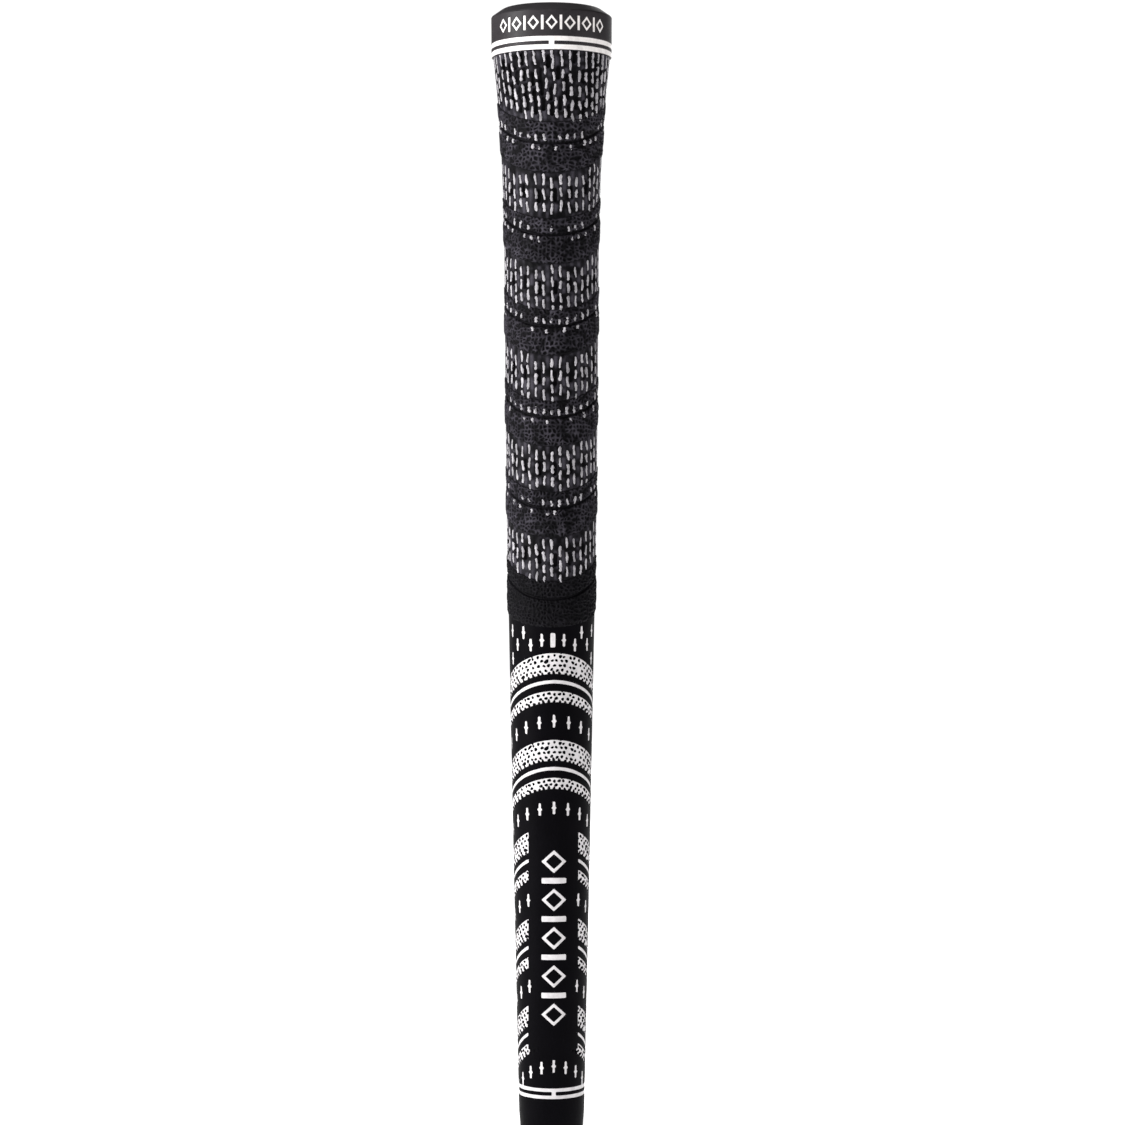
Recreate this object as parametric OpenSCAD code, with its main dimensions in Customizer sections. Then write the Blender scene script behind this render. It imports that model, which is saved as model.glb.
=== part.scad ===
// Golf grip: a push-on rubber sleeve with a corded upper hand, a smooth lower hand with
// painted arches, and a keyed butt cap. Millimetres. The axis is Z, the tip's mouth is at
// z = 0, the butt is up, and the marked front faces -Y.
//
// Every moulded groove is cut into its panel and filled by a paint node of its own, so the
// groove and the fill come from the same module.

/* [Outline] */
// Length from the mouth to the crown of the cap
grip_length = 267; // [250:1:280]
// Height of the cap's lower edge, where the rubber ends
skirt_z = 254.9; // [245:0.1:256]
// Height at the front of the joint between the lower and the upper hand
joint_z = 120; // [115:1:122]
// Rise of that joint from the front to the side
joint_rise = 3.5; // [0:0.5:4]
// Radius at the mouth, before its rounded nip
tip_r = 7.7; // [7.6:0.05:7.9]
// How far the mouth's end is nipped in
tip_nip = 0.3; // [0:0.05:0.4]
// Length of that nip
tip_nip_length = 4.5; // [3:0.5:6]
// Radius of the lower hand at the joint
lower_top_r = 10.17; // [10:0.01:10.3]
// Outward bow of the lower hand's taper
lower_bow = 0.06; // [0:0.01:0.1]
// How far the upper hand stands proud of the lower one
upper_step = 0.19; // [0.1:0.01:0.3]
// Height at which the upper hand starts to flare
flare_z = 205; // [195:1:215]
// Radius there
flare_r = 11.2; // [11:0.05:11.5]
// Outward bow of the upper hand's taper
upper_bow = 0.08; // [0:0.01:0.1]
// What the flare adds to the radius under the cap
flare_grow = 2.16; // [1.8:0.02:2.4]
// How late the flare comes, as a power of the distance
flare_power = 2.45; // [2:0.05:3]

/* [Shell] */
// Thickness of the lower hand's panels
lower_skin = 0.6; // [0.5:0.05:0.65]
// Thickness of the upper hand's panels
upper_skin = 1; // [0.8:0.05:1.1]
// Thickness of the cotton ply
ply_skin = 0.4; // [0.3:0.05:0.5]
// Height of the ply's lower end
ply_z = 125; // [124:0.5:128]
// Depth of every painted groove
paint_depth = 0.25; // [0.15:0.01:0.3]
// Depth of the paint in the two ticks, less than the rings' so that no two groove floors coincide
tick_depth = 0.2; // [0.1:0.01:0.24]

/* [Bore] */
// Radius of the straight land inside the mouth
mouth_r = 6.35; // [6.2:0.01:6.4]
// Length of that land
mouth_length = 12; // [8:1:20]
// Bore radius under the cap, for a shaft of 15.24 mm
butt_bore_r = 7.62; // [7.4:0.01:7.8]
// Height of the bore's blind end, inside the cap
bore_end_z = 261.5; // [258:0.5:262]
// Radius of the cap's vent hole
vent_r = 1.2; // [0.8:0.1:1.5]

/* [Cap] */
// Radius at the cap's lower edge
cap_r = 14.27; // [14.1:0.01:14.4]
// Height at which the chamfer starts
chamfer_z = 264.4; // [263.8:0.1:264.8]
// How far the chamfer comes in
chamfer_in = 2.65; // [2:0.05:3]
// How far the chamfer rises
chamfer_rise = 1.85; // [1.4:0.05:2]
// Inner radius of the ring that keys the cap into the sleeve
key_inner_r = 8.8; // [8.5:0.1:9]
// Outer radius of that ring
key_outer_r = 10.6; // [10:0.1:11]
// Depth of that ring
key_depth = 5; // [3:0.5:6]
// Height of each painted ring on the cap
cap_ring_height = 1.2; // [0.8:0.1:1.3]
// Space between the two rings
cap_ring_gap = 0.75; // [0.5:0.05:1]
// Width of the tick that joins them
cap_tick_width = 1.3; // [0.8:0.1:2]
// Height of the middle of the row of marks
badge_z = 261.2; // [261:0.1:261.5]
// Height of the marks
badge_height = 3.4; // [2.5:0.1:3.6]
// Width of each lozenge
badge_lozenge_width = 2.9; // [2:0.1:3]
// Number of lozenges in the row
badge_lozenges = 7; // [5:1:9]
// Angle between a lozenge and the next bar
badge_step = 8.8; // [8:0.1:9]
// Thickness of the marks' strokes
badge_stroke = 0.6; // [0.4:0.05:0.8]

/* [Lower hand] */
// How far the lower hand's pattern is turned about the axis
pattern_turn = 3.5; // [0:0.5:5]
// Number of sets of arches
arch_sets = 5; // [1:1:5]
// Distance from one set of arches to the next
arch_pitch = 20.5; // [19:0.1:21]
// Drop of an arch from the front to the side
arch_drop = 6.5; // [4:0.1:7]
// Height of the top edge of the highest wide band
wide_z = 113.85; // [113:0.05:114]
// Height of the wide bands
wide_height = 4.85; // [4:0.05:5]
// Height of the top edge of the highest thin line
line_z = 107.5; // [107:0.05:108]
// Height of the thin lines
line_height = 0.78; // [0.5:0.02:1]
// Height of the top edge of the highest narrow band
narrow_z = 104.9; // [104.5:0.05:105.5]
// Height of the narrow bands
narrow_height = 2.6; // [2:0.05:3]
// Height of the middle of the highest row of dashes
dash_z = 97.8; // [97:0.1:98.5]
// Angle between two dashes
dash_step = 21.1; // [20:0.1:22]
// Length of a dash
dash_length = 3; // [2:0.1:3.5]
// Width of a dash at its ends
dash_width = 0.55; // [0.4:0.05:0.8]
// Width of the lozenge in the middle of a dash
dash_bulge = 1.1; // [0.9:0.05:1.4]

/* [Plain panel] */
// Width of the plain panel in the front of the lower hand
panel_width = 11.9; // [9:0.1:13]
// Height of the plain panel's top
panel_top_z = 74; // [73.5:0.5:75]
// Height of the plain panel's bottom
panel_bottom_z = 19.5; // [18:0.5:20]
// Height of the middle of the column of marks
mark_z = 46.35; // [45:0.05:48]
// Number of lozenges in the column
mark_lozenges = 5; // [3:1:5]
// Height of each lozenge
mark_lozenge_height = 5.4; // [4:0.1:6]
// Height of each bar between two lozenges
mark_bar_height = 1.3; // [0.8:0.1:1.6]
// Space between a lozenge and a bar
mark_gap = 1.2; // [0.8:0.1:1.5]
// Width of the column
mark_width = 6; // [4:0.1:7]
// Thickness of the lozenges' strokes
mark_stroke = 1; // [0.6:0.05:1.2]

/* [Tip rings] */
// Height of the lower edge of the upper ring
tip_ring_z = 9.7; // [9.5:0.1:10]
// Height of each ring
tip_ring_height = 0.8; // [0.5:0.05:1]
// Distance between the rings' lower edges
tip_ring_pitch = 1.7; // [1.5:0.1:2]
// Width of the tick that joins them
tip_tick_width = 1; // [0.6:0.1:1.5]

/* [Upper hand] */
// Number of curved grooves
smile_count = 6; // [1:1:6]
// Height at the front of the middle of the highest groove
smile_z = 233.3; // [230:0.1:236]
// Distance from one groove to the next
smile_pitch = 21.35; // [20:0.05:21.4]
// Rise of a groove from the front to the side
smile_rise = 6.2; // [4:0.1:7]
// Width of a groove
smile_width = 0.9; // [0.5:0.05:1.2]
// Depth of a groove
smile_depth = 0.35; // [0.2:0.05:0.5]

/* [Hidden] */

$fn = 96;
outside = 2;                        // how far a groove's shape reaches past the surface
groove_lap = 0.3;                   // how far a tick's groove runs into the rings'
reach = 20;                         // half width of the slabs, past the cap's radius
upper_bottom_z = joint_z - 1;       // the upper panels' lowest ring, under their slanted edge
lower_top_z = joint_z + joint_rise; // the lower panels' highest ring, at the sides
charcoal = [0.20, 0.20, 0.215];
black = [0.07, 0.07, 0.075];
white = [0.93, 0.90, 0.89];
cotton = [0.78, 0.76, 0.77];

// Angle and height of each dash under the joint, on the right of the front. The row
// repeats mirrored on the left, and on the back.
joint_dashes = [[15, 116.9], [31.5, 115.7], [43, 118.6], [55, 115.7], [68.5, 118.9], [68.5, 112.3]];
joint_bar = [1.15, 3.3];            // width and height of the solid bar in the middle

// Rings that the two curved tapers are built on
lower_rings = concat([0, tip_nip_length / 2, tip_nip_length], [for (k = [1:6]) 4.5 + k * 19.8]);
upper_rings = concat([for (k = [0:4]) upper_bottom_z + k * (flare_z - upper_bottom_z) / 5],
                     [for (k = [0:8]) flare_z + k * (skirt_z - flare_z) / 8]);

// ---------------------------------------------------------------- outline

function bow(t, size) = t > 0 && t < 1 ? size * 4 * t * (1 - t) : 0;

function lower_r(z) =
    let(t = z / joint_z)
    tip_r + (lower_top_r - tip_r) * t + bow(t, lower_bow)
        - tip_nip * pow(max(0, 1 - z / tip_nip_length), 2);

function upper_r(z) =
    let(t = (z - joint_z) / (flare_z - joint_z), foot = lower_top_r + upper_step)
    foot + (flare_r - foot) * t + bow(t, upper_bow)
        + flare_grow * pow(max(0, (z - flare_z) / (skirt_z - flare_z)), flare_power);

function cap_r_at(z) = cap_r + 0.007 * (z - skirt_z);

// Points of the lower or upper outline between two heights, moved in by a depth
function lower_edge(z0, z1, depth) =
    [for (z = concat([z0], [for (z = lower_rings) if (z > z0 + 0.01 && z < z1 - 0.01) z], [z1]))
        [lower_r(z) - depth, z]];
function upper_edge(z0, z1, depth) =
    [for (z = concat([z0], [for (z = upper_rings) if (z > z0 + 0.01 && z < z1 - 0.01) z], [z1]))
        [upper_r(z) - depth, z]];
function back_along(points) = [for (k = [len(points) - 1:-1:0]) points[k]];

// A tube between two depths under the lower hand's surface
module lower_tube(z0, z1, outer, inner) {
    rotate_extrude()
        polygon(concat(lower_edge(z0, z1, outer), back_along(lower_edge(z0, z1, inner))));
}

// The same on the cap
module cap_tube(z0, z1, outer, inner) {
    rotate_extrude()
        polygon([[cap_r_at(z0) - inner, z0], [cap_r_at(z0) - outer, z0],
                 [cap_r_at(z1) - outer, z1], [cap_r_at(z1) - inner, z1]]);
}

// ---------------------------------------------------------------- cutting shapes

// A slab over the front half that leans with the grip's curves: its heights are those at
// the front of a surface of radius r, and it has risen by rise where it reaches the sides.
module front_slab(z_low, z_high, rise, r) {
    dip = (reach - r) * rise / r;
    rotate([90, 0, 90])
        linear_extrude(height = 2 * reach, center = true)
            polygon([[-reach, z_low - dip], [0, z_low + rise], [0, z_high + rise], [-reach, z_high - dip]]);
}

// The half of space on the front, between two heights
module front_half(z_low, z_high) {
    front_slab(z_low, z_high, 0, reach);
}

// Its child on the front, and again on the back
module both_sides() {
    children();
    mirror([0, 1, 0]) children();
}

// A flat outline (x across, y up) pressed inwards through the surface at an angle
module pressed(angle, z) {
    rotate([0, 0, angle])
        translate([0, -4, z])
            rotate([90, 0, 0])
                linear_extrude(height = 16)
                    children();
}

module lozenge(w, h) {
    polygon([[-w / 2, 0], [0, -h / 2], [w / 2, 0], [0, h / 2]]);
}

module lozenge_ring(w, h, stroke) {
    difference() {
        lozenge(w, h);
        lozenge(w - 2 * stroke, h - 2 * stroke * h / w);
    }
}

module dash(w, h, bulge) {
    union() {
        square([w, h], center = true);
        lozenge(bulge, bulge);
    }
}

// ---------------------------------------------------------------- painted shapes
// Each takes the depths between which it reaches, so that one shape is both the fill and,
// a little longer outwards, the groove.

function arch_z(top_z, k) = top_z - (k - 1) * arch_pitch;

// The plain panel keeps the arches and dashes off the middle of the front
module plain_panel() {
    translate([-panel_width / 2, -reach, panel_bottom_z])
        cube([panel_width, reach, panel_top_z - panel_bottom_z]);
}

module arch(top_z, height, k, outer, inner) {
    z = arch_z(top_z, k);
    rotate([0, 0, pattern_turn])
        difference() {
            intersection() {
                lower_tube(z - height - arch_drop - 1, z + 1, outer, inner);
                both_sides() front_slab(z - height, z, -arch_drop, lower_r(z));
            }
            if (z < panel_top_z + height) plain_panel();
        }
}

module dash_row(k, outer, inner) {
    z = arch_z(dash_z, k);
    beside_panel = z < panel_top_z && z > panel_bottom_z;
    rotate([0, 0, pattern_turn])
        intersection() {
            lower_tube(z - arch_drop - dash_length, z + dash_length, outer, inner);
            union()
                for (side = [0, 180])
                    for (step = [-4:4])
                        if (side == 180 || !beside_panel || abs(step) > 1)
                            pressed(side + step * dash_step, z - arch_drop * (1 - cos(step * dash_step)))
                                dash(dash_width, dash_length, dash_bulge);
        }
}

module joint_dash_row(outer, inner) {
    rotate([0, 0, pattern_turn / 2])
        intersection() {
            lower_tube(min([for (d = joint_dashes) d[1]]) - dash_length, joint_z + 1, outer, inner);
            union()
                for (side = [0, 180]) {
                    pressed(side, joint_dashes[0][1]) square(joint_bar, center = true);
                    for (d = joint_dashes)
                        for (hand = [-1, 1])
                            pressed(side + hand * d[0], d[1]) dash(dash_width, dash_length, dash_bulge);
                }
        }
}

module panel_marks(outer, inner) {
    step = (mark_lozenge_height + mark_bar_height) / 2 + mark_gap;
    half_column = (mark_lozenges - 1) * step + mark_lozenge_height / 2;
    rotate([0, 0, pattern_turn])
        intersection() {
            lower_tube(mark_z - half_column - 1, mark_z + half_column + 1, outer, inner);
            front_half(0, joint_z);
            union()
                for (k = [0:2 * mark_lozenges - 2])
                    pressed(0, mark_z + (k - mark_lozenges + 1) * step)
                        if (k % 2 == 0) lozenge_ring(mark_width, mark_lozenge_height, mark_stroke);
                        else square([mark_width, mark_bar_height], center = true);
        }
}

module tip_ring(k, outer, inner) {
    z = tip_ring_z - k * tip_ring_pitch;
    lower_tube(z, z + tip_ring_height, outer, inner);
}

// A tick's groove laps into the rings' grooves, which its fill only meets
module tip_tick(outer, inner, lap) {
    rotate([0, 0, pattern_turn])
        intersection() {
            lower_tube(tip_ring_z - tip_ring_pitch + tip_ring_height - lap, tip_ring_z + lap, outer, inner);
            pressed(0, tip_ring_z) square([tip_tick_width, 2 * tip_ring_pitch], center = true);
        }
}

module cap_ring(k, outer, inner) {
    z = skirt_z + k * (cap_ring_height + cap_ring_gap);
    cap_tube(z, z + cap_ring_height, outer, inner);
}

module cap_tick(outer, inner, lap) {
    z = skirt_z + cap_ring_height;
    intersection() {
        cap_tube(z - lap, z + cap_ring_gap + lap, outer, inner);
        pressed(0, z) square([cap_tick_width, 3 * cap_ring_gap], center = true);
    }
}

module cap_badge(outer, inner) {
    intersection() {
        cap_tube(badge_z - badge_height, badge_z + badge_height / 2 + 0.1, outer, inner);
        front_half(skirt_z, grip_length);
        union()
            for (k = [1 - badge_lozenges:badge_lozenges - 1])
                pressed(k * badge_step, badge_z)
                    if ((k + badge_lozenges) % 2 == 1) lozenge_ring(badge_lozenge_width, badge_height, badge_stroke);
                    else square([badge_stroke, badge_height], center = true);
    }
}

// ---------------------------------------------------------------- sub-parts

module butt_cap() {
    crown_r = cap_r_at(chamfer_z) - chamfer_in;
    crown_z = chamfer_z + chamfer_rise;
    crown_rise = grip_length - crown_z;
    color(charcoal)
        difference() {
            rotate_extrude()
                polygon(concat(
                    [[vent_r, bore_end_z], [butt_bore_r + 0.08, bore_end_z], [butt_bore_r, skirt_z],
                     [key_inner_r, skirt_z], [key_inner_r, skirt_z - key_depth],
                     [key_outer_r, skirt_z - key_depth], [key_outer_r, skirt_z],
                     [cap_r, skirt_z], [cap_r_at(chamfer_z), chamfer_z]],
                    [for (t = [1:-0.2:0.1]) [crown_r * t, crown_z + crown_rise * (1 - t * t)]],
                    [[vent_r, grip_length - crown_rise * pow(vent_r / crown_r, 2)]]));
            cap_ring(0, -outside, paint_depth);
            cap_ring(1, -outside, paint_depth);
            cap_tick(-outside, tick_depth, groove_lap);
            cap_badge(-outside, paint_depth);
        }
}

module inner_sleeve() {
    deep = upper_skin + ply_skin;
    color(black)
        rotate_extrude()
            polygon(concat(
                [[mouth_r, 0]],
                lower_edge(0, ply_z, lower_skin),
                upper_edge(ply_z, skirt_z, deep),
                [[key_outer_r, skirt_z], [key_outer_r, skirt_z - key_depth],
                 [key_inner_r, skirt_z - key_depth], [key_inner_r, skirt_z],
                 [butt_bore_r, skirt_z], [mouth_r, mouth_length]]));
}

module cord_ply() {
    color(cotton)
        rotate_extrude()
            polygon(concat(upper_edge(ply_z, skirt_z, upper_skin),
                           back_along(upper_edge(ply_z, skirt_z, upper_skin + ply_skin))));
}

// The front half of the upper hand's rubber
module upper_panel() {
    color(charcoal)
        difference() {
            intersection() {
                rotate_extrude()
                    polygon(concat(upper_edge(upper_bottom_z, skirt_z, 0),
                                   back_along(upper_edge(ply_z, skirt_z, upper_skin)),
                                   back_along(lower_edge(upper_bottom_z, ply_z, lower_skin))));
                front_slab(joint_z, 2 * grip_length, joint_rise, lower_top_r);
            }
            for (k = [0:smile_count - 1]) smile_groove(smile_z - k * smile_pitch);
        }
}

module smile_groove(z) {
    difference() {
        front_slab(z - smile_width / 2, z + smile_width / 2, smile_rise, upper_r(z));
        rotate_extrude()
            polygon(concat([[0, z - smile_width - 1]],
                           upper_edge(z - smile_width - 1, z + smile_width + smile_rise + 1, smile_depth),
                           [[0, z + smile_width + smile_rise + 1]]));
    }
}

// The front half of the lower hand's rubber, without its painted grooves
module lower_panel() {
    intersection() {
        lower_tube(0, lower_top_z, 0, lower_skin);
        front_slab(-4 * joint_z, joint_z, joint_rise, lower_top_r);
    }
}

module lower_grooves() {
    for (k = [1:arch_sets]) {
        arch(wide_z, wide_height, k, -outside, paint_depth);
        arch(line_z, line_height, k, -outside, paint_depth);
        arch(narrow_z, narrow_height, k, -outside, paint_depth);
        dash_row(k, -outside, paint_depth);
    }
    joint_dash_row(-outside, paint_depth);
    panel_marks(-outside, paint_depth);
    tip_ring(0, -outside, paint_depth);
    tip_ring(1, -outside, paint_depth);
    tip_tick(-outside, tick_depth, groove_lap);
}

module lower_panel_front() {
    color(black)
        difference() {
            lower_panel();
            lower_grooves();
        }
}

module lower_panel_back() {
    color(black)
        difference() {
            mirror([0, 1, 0]) lower_panel();
            lower_grooves();
        }
}

butt_cap();
color(white) cap_ring(1, 0, paint_depth);  // cap_upper_ring_fill
color(white) cap_ring(0, 0, paint_depth);  // cap_lower_ring_fill
color(white) cap_tick(0, tick_depth, 0);  // cap_tick_fill
color(white) cap_badge(0, paint_depth);  // cap_badge_fill
inner_sleeve();
cord_ply();
upper_panel();  // upper_panel_front
mirror([0, 1, 0]) upper_panel();  // upper_panel_back
lower_panel_front();
lower_panel_back();
for (k = [1:arch_sets]) {
    color(white) arch(wide_z, wide_height, k, 0, paint_depth);
    color(white) arch(line_z, line_height, k, 0, paint_depth);
    color(white) arch(narrow_z, narrow_height, k, 0, paint_depth);
    color(white) dash_row(k, 0, paint_depth);
}
color(white) joint_dash_row(0, paint_depth);  // joint_dash_fill
color(white) panel_marks(0, paint_depth);  // panel_mark_fill
color(white) tip_ring(0, 0, paint_depth);  // tip_upper_ring_fill
color(white) tip_ring(1, 0, paint_depth);  // tip_lower_ring_fill
color(white) tip_tick(0, tick_depth, 0);  // tip_tick_fill
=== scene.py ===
"""Looks of a golf grip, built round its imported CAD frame.

Everything sits on one round surface, so a place on it is an angle and a height. Angles are in degrees
from the front (-Y) towards +X. Lengths are in millimetres until add_mesh() writes metres; materials,
lights and the camera are in metres.

The rubber skins are height fields: a groove is a slope down to its floor, and the paint in it is a thin
plate a little under the surface, so a painted edge is where the rubber's slope meets the plate.
"""

import math

import bpy
import numpy as np
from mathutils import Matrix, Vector
from mathutils.bvhtree import BVHTree


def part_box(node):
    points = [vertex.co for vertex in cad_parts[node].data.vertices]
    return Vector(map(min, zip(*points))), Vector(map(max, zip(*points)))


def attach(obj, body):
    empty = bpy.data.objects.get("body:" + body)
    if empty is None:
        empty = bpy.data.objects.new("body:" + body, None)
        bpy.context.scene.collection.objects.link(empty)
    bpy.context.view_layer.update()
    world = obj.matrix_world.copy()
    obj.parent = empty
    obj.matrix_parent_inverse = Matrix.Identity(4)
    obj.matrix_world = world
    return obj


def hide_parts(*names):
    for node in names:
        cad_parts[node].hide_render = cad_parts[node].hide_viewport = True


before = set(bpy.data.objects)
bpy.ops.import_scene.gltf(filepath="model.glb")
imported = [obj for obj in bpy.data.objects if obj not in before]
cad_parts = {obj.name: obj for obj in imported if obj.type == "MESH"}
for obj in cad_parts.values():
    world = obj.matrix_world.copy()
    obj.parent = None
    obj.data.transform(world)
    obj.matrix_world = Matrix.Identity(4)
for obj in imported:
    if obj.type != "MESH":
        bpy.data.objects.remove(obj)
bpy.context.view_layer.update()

# -------------------- driving values

MM = 0.001
SKIN_GRID = 0.24            # spacing of the rubber skins' grids
PEBBLE_GRID = 0.14          # spacing on the pebbled bands, which hold finer shapes
NOISE_R = 11.0              # radius of the cylinder that noise is read on
FAR = 9.0                   # more than any distance that matters
ARCH_SETS = 5

# Lower hand
LOWER_R = 9.0               # typical radius, for the grid
PEBBLE_R = 9.3              # typical radius of the painted bands with pebbles
LOWER_SKIN = 0.6            # thickness
PATTERN_TURN = 3.5          # degrees by which the lower hand's pattern is turned
ARCH_DROP = 6.5             # from the front of an arch to its sides
DASH_STEP = 21.1            # degrees between dashes
DASH_LENGTH = 3.0
DASH_WIDTH = 0.55
DASH_BULGE = 1.3
JOINT_BAR = (1.15, 3.3)     # width and height of the solid bar under the joint
JOINT_DASHES = ((15, 116.9), (31.5, 115.7), (43, 118.6), (55, 115.7), (68.5, 118.9), (68.5, 112.3))
PANEL_WIDTH = 11.9          # plain panel in the front
PANEL_LOW, PANEL_HIGH = 19.5, 74.0
MARK_LOZENGES = 5
MARK_LOZENGE = (6.0, 5.4)   # width and height
MARK_BAR = 1.3
MARK_GAP = 1.2
MARK_STROKE = 1.0
TICK_WIDTH = 1.0            # at the tip

# Upper hand
UPPER_R = 11.0              # typical radius, for the grid
BAND_R = 11.2               # typical radius of the pebbled bands
YARN_R = 11.5               # typical radius of the cord zones
UPPER_SKIN = 0.9            # thickness
BAND_SKIN = 0.6
BAND_SINK = 0.33            # how much lower the plain skin lies under a pebbled band
JOINT_RISE = 3.5            # from the front of the joint between the hands to its sides
SMILE_RISE = 6.2            # from the front of a curved groove to its sides
SMILE_TOP = 233.3           # height of the highest groove at the front
SMILE_PITCH = 21.35
SMILE_COUNT = 6
SMILE_DEPTH = 0.34
THICK_BAND = (1.9, 6.8)     # below each groove: where the thick pebbled band starts and ends
CORD_END = 17.4             # where the cord zone under it ends
TOP_CORD_END = 16.6         # the same below the cap
STRIP = 1.5                 # width of the low strip on each side of a groove
LAST_CORD_Z = 130.8         # where the lowest cord zone ends at the front
YARN_COLUMNS = 36
TOP_YARN_COLUMNS = 40
YARN_PERIOD = 3.35          # from one yarn end to the next along a column
YARN_WIDTH = 0.72
YARN_SLANT = 1.0            # degrees
TOP_YARN_SLANT = 4.5
SLOT = (0.95, 3.3)          # width and height of the deep slots between the yarns
SLOT_DEPTH = 0.7
SLOT_CHANCE = 0.7           # share of the slots that are there in the highest zone

# Cap
CHAMFER_IN, CHAMFER_RISE = 2.65, 1.85
CHAMFER_Z = 264.4
VENT_R = 1.2
BORE_END_Z = 261.5
BUTT_BORE_R = 7.62
MOUTH_R = 6.35
MOUTH_LENGTH = 12.0
KEY_IN, KEY_OUT = 8.8, 10.6     # radii of the ring that keys it into the sleeve
KEY_DEPTH = 5.0
SLEEVE_DEPTH = 1.45         # the sleeve's outside, under the upper hand's surface
CAP_TICK = 1.3
BADGE_Z = 261.2
BADGE_LOZENGES = 7
BADGE_STEP = 8.8            # degrees from a lozenge to the next bar
BADGE_LOZENGE = (2.9, 3.4)
BADGE_STROKE = 0.6

# Paint
PAINT_SINK = 0.06           # how far the paint's face lies under the rubber's
GROOVE_SLOPE = 0.6          # rise over run of a painted groove's sides
GROOVE_FLOOR = 0.24
TICK_SINK = 0.08            # a little deeper than the rings that the tick runs under
PLATE_MARGIN = 0.3          # how far a paint plate runs on under the rubber
PLATE_THICK = 0.12


# -------------------- frame

def box_mm(node):
    low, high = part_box(node)
    return np.array(low) / MM, np.array(high) / MM


def outline(nodes, low, high, smoothing):
    """The CAD's outer radius against height, from rays shot at it from outside, as a function of height."""
    verts, faces = [], []
    for node in nodes:
        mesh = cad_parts[node].data
        base = len(verts)
        verts += [v.co.copy() for v in mesh.vertices]
        faces += [[base + i for i in p.vertices] for p in mesh.polygons]
    tree = BVHTree.FromPolygons(verts, faces)
    start = 0.04                # metres from the axis, outside the grip
    step = 0.5
    heights = np.arange(low, high, step)
    radii = np.zeros(len(heights))
    for i, z in enumerate(heights):
        for a in np.radians(np.arange(1.5, 360, 6)):
            out = Vector((math.sin(a), -math.cos(a), 0))
            hit = tree.ray_cast(out * start + Vector((0, 0, z * MM)), -out)
            if hit[0] is not None:
                radii[i] = max(radii[i], (start - hit[3]) / MM)
    for fold in (np.max, np.min):   # fills the rings' grooves
        padded = np.pad(radii, 2, mode="edge")
        radii = fold(np.lib.stride_tricks.sliding_window_view(padded, 5), axis=1)
    reach = int(3 * smoothing / step) + 1
    ahead = np.arange(1, 2 * reach + 1)
    below = radii[0] - (radii[4] - radii[0]) / 4 * ahead[::-1]
    above = radii[-1] + (radii[-1] - radii[-5]) / 4 * ahead
    weight = np.exp(-0.5 * (np.arange(-reach, reach + 1) * step / smoothing) ** 2)
    smooth = np.convolve(np.concatenate([below, radii, above]), weight / weight.sum(), mode="valid")
    at = heights[0] + step * (np.arange(len(smooth)) - reach)
    return lambda z: np.interp(z, at, smooth)


LOWER_NODES = ["lower_panel_front", "lower_panel_back"]
UPPER_NODES = ["upper_panel_front", "upper_panel_back"]
JOINT_Z = box_mm("upper_panel_front")[0][2]
SKIRT_Z = box_mm("upper_panel_front")[1][2]
TOP_Z = box_mm("butt_cap")[1][2]
lower_r = outline(LOWER_NODES, 0.02, JOINT_Z + JOINT_RISE - 0.1, 0.8)
upper_r = outline(UPPER_NODES, JOINT_Z + 0.05, SKIRT_Z - 0.02, 3.0)
cap_r = outline(["butt_cap"], box_mm("cap_upper_ring_fill")[1][2] + 0.3, CHAMFER_Z - 0.1, 1.5)


# -------------------- noise

def smoothstep(low, high, x):
    t = np.clip((x - low) / (high - low), 0, 1)
    return t * t * (3 - 2 * t)


def hashed(ix, iy, iz, seed):
    """A repeatable number from 0 to 1 for each integer cell."""
    x, y, z = (i.astype(np.int64) for i in (ix, iy, iz))
    h = (x * 73856093) ^ (y * 19349663) ^ (z * 83492791)
    h = (h ^ (seed * 40503)) & 0xFFFFFFFF
    h = ((h ^ (h >> 15)) * 2246822519) & 0xFFFFFFFF
    h = ((h ^ (h >> 13)) * 3266489917) & 0xFFFFFFFF
    return ((h ^ (h >> 16)) & 0xFFFFFF) / 0xFFFFFF


def noise(angle, z, size, seed):
    """Smooth noise from -1 to 1 in space, so that it has no seam round the grip."""
    a = np.radians(angle)
    p = [NOISE_R * np.sin(a) / size, NOISE_R * np.cos(a) / size, np.asarray(z) / size]
    cell = [np.floor(c).astype(np.int64) for c in p]
    part = [(c - i) ** 2 * (3 - 2 * (c - i)) for c, i in zip(p, cell)]
    total = 0
    for dx in (0, 1):
        for dy in (0, 1):
            for dz in (0, 1):
                weight = 1
                for d, f in zip((dx, dy, dz), part):
                    weight = weight * (f if d else 1 - f)
                total = total + weight * hashed(cell[0] + dx, cell[1] + dy, cell[2] + dz, seed)
    return total * 2 - 1


def pits(angle, z, size, seed):
    """A leather-like grain, seamless round the grip: 0 on a net of thin ridges, 1 in the pits between."""
    around = int(round(2 * math.pi * NOISE_R / size))
    u = angle / 360 * around + 0.45 * noise(angle, z, 1.3, seed + 5)
    v = z / size + 0.45 * noise(angle, z, 1.3, seed + 6)
    iu, iv = np.floor(u).astype(np.int64), np.floor(v).astype(np.int64)
    first = np.full(np.shape(u), FAR)
    second = np.full(np.shape(u), FAR)
    for du in (-1, 0, 1):
        for dv in (-1, 0, 1):
            cu, cv = iu + du, iv + dv
            wrapped = cu % around
            px = cu + 0.15 + 0.7 * hashed(wrapped, cv, cu * 0, seed)
            py = cv + 0.15 + 0.7 * hashed(wrapped, cv, cu * 0 + 1, seed)
            d = np.hypot(u - px, v - py)
            second = np.minimum(second, np.maximum(first, d))
            first = np.minimum(first, d)
    return smoothstep(0.16, 0.52, second - first)


# -------------------- curves and distances on the surface

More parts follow.
